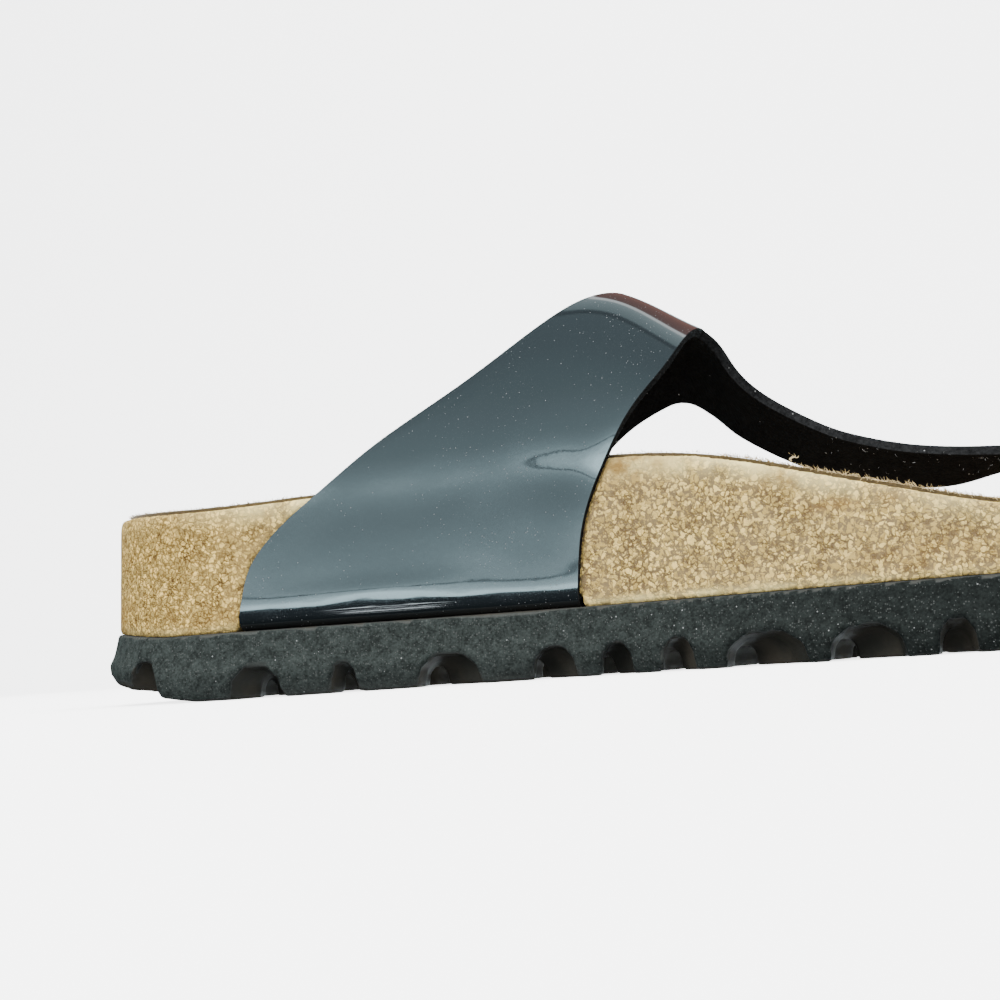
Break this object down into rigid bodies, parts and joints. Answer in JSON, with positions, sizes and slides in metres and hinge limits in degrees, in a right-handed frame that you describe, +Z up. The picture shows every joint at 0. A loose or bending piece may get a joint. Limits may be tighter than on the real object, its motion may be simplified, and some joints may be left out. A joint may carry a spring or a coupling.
{
  "type": "toe post sandal",
  "caption": "Open cork-bed sandal with a glossy strap that wraps the instep and runs as a thong to a toe post, on a lugged foam sole",
  "frame": {"origin": "middle of the overall box, on the floor that the sole stands on", "axes": "+X from heel to toe, +Y from the inner side of the foot to the outer side, +Z up"},
  "size_m": [0.2504, 0.0982, 0.0803],
  "materials": {
    "sole_foam": "matte, ground side",
    "cork": "sealed cork granules",
    "suede": "napped suede",
    "strap_patent": "high gloss patent",
    "post_felt": "matte felt"
  },
  "bodies": {
    "root": {"outsole": "sole_foam", "footbed": "cork", "insole": "suede", "upper": "strap_patent", "toe_post": "post_felt"}
  },
  "joints": []
}
